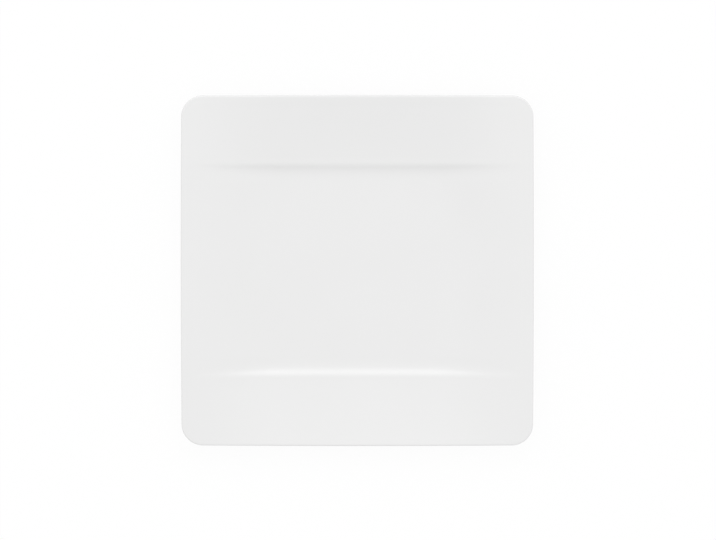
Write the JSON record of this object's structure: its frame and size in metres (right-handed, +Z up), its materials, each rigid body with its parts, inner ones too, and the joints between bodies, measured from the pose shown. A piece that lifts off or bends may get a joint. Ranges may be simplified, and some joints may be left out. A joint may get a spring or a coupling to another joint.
{
  "type": "square breakfast plate",
  "caption": "Square glazed porcelain plate with rounded corners, a flat well, soft creases at the front and back rims, gently rising sides and a wiped foot ring.",
  "frame": {"origin": "on the table plane, under the plate's centre", "axes": "+Z up out of the well, +X along the two creases, +Y to the back rim, at the top of the picture"},
  "size_m": [0.23, 0.23, 0.018],
  "materials": {
    "biscuit": "bare vitrified porcelain, fine and matt, lightly polished on the foot",
    "glaze": "clear gloss glaze over white porcelain"
  },
  "bodies": {
    "root": {"porcelain_body": "biscuit", "outer_glaze": "glaze", "base_glaze": "glaze"}
  },
  "joints": []
}
